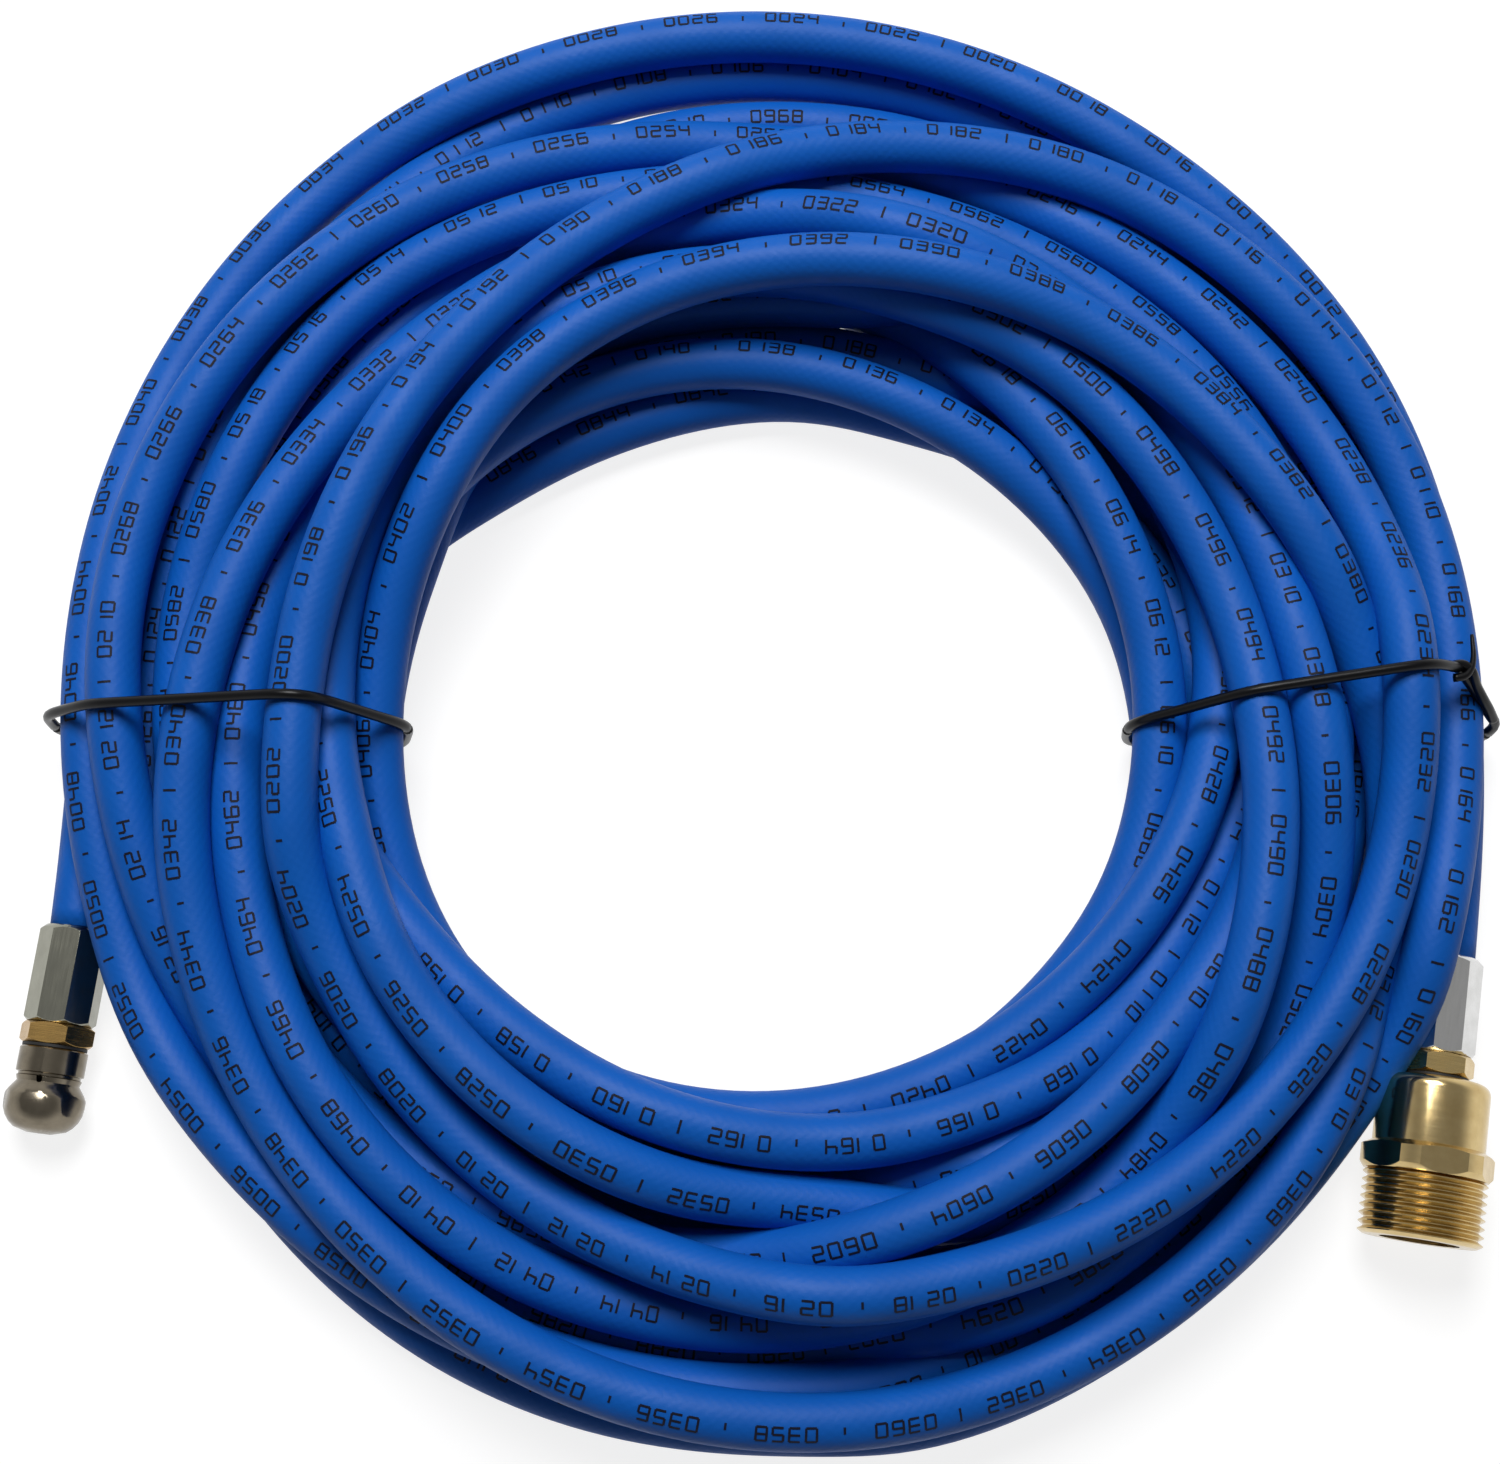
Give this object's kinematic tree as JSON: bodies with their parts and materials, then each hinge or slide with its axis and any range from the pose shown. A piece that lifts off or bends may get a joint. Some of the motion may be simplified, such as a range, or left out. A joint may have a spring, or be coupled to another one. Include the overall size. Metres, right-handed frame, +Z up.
{
  "type": "coiled jetting hose",
  "caption": "Coiled high-pressure hose with crimped ferrules, a jet nozzle on one end and a male-thread screw adapter on the other, held by two wire ties.",
  "frame": {"origin": "centre of the whole object's outline, on the surface that it lies on", "axes": "+Z up, out of the coil's plane; +Y from the fittings' free ends towards the far side of the coil; +X from the nozzle to the adapter"},
  "size_m": [0.2788, 0.2843, 0.0467],
  "materials": {
    "hose_jacket": "satin",
    "hose_braid": "matte",
    "hose_liner": "matte",
    "ferrule_steel": "zinc plated",
    "fitting_brass": "turned",
    "nozzle_metal": "polished",
    "seal_rubber": "matte",
    "tie_wire": "drawn",
    "tie_plastic": "satin"
  },
  "bodies": {
    "hose": {"hose_coil": "hose_jacket", "hose_lead_inlet": "hose_jacket", "hose_lead_nozzle": "hose_jacket", "inlet_hose_cover": "hose_jacket", "inlet_hose_braid": "hose_braid", "inlet_hose_liner": "hose_liner", "nozzle_hose_cover": "hose_jacket", "nozzle_hose_braid": "hose_braid", "nozzle_hose_liner": "hose_liner", "inlet_ferrule": "ferrule_steel", "nozzle_ferrule": "ferrule_steel", "inlet_hose_tail": "fitting_brass", "nozzle_hose_tail": "fitting_brass", "tie_core_left": "tie_wire", "tie_sheath_left": "tie_plastic", "tie_core_right": "tie_wire", "tie_sheath_right": "tie_plastic"},
    "nozzle_washer": {"nozzle_seal_ring": "seal_rubber"},
    "nozzle": {"jet_nozzle": "nozzle_metal"},
    "adapter_washer": {"inlet_seal_ring": "seal_rubber"},
    "adapter": {"inlet_adapter": "fitting_brass"}
  },
  "joints": [
    {"name": "nozzle_travel", "type": "slide", "parent": "hose", "child": "nozzle_washer", "axis": [-0.1219, -0.9925, 0], "range_m": [0, 0.00635]},
    {"name": "nozzle_screw", "type": "hinge", "parent": "nozzle_washer", "child": "nozzle", "pos_m": [-0.13073, -0.07122, 0.00695], "axis": [-0.1219, -0.9925, 0], "range_deg": [0, 2520]},
    {"name": "adapter_travel", "type": "slide", "parent": "hose", "child": "adapter_washer", "axis": [-0.165, -0.9863, 0], "range_m": [0, 0.00635]},
    {"name": "adapter_screw", "type": "hinge", "parent": "adapter_washer", "child": "adapter", "pos_m": [0.12324, -0.07707, 0.011], "axis": [-0.165, -0.9863, 0], "range_deg": [0, 2520]}
  ],
  "couplings": [
    {"joint": "nozzle_travel", "follows": "nozzle_screw", "m_per_rad": 0.00014435},
    {"joint": "adapter_travel", "follows": "adapter_screw", "m_per_rad": 0.00014435}
  ]
}
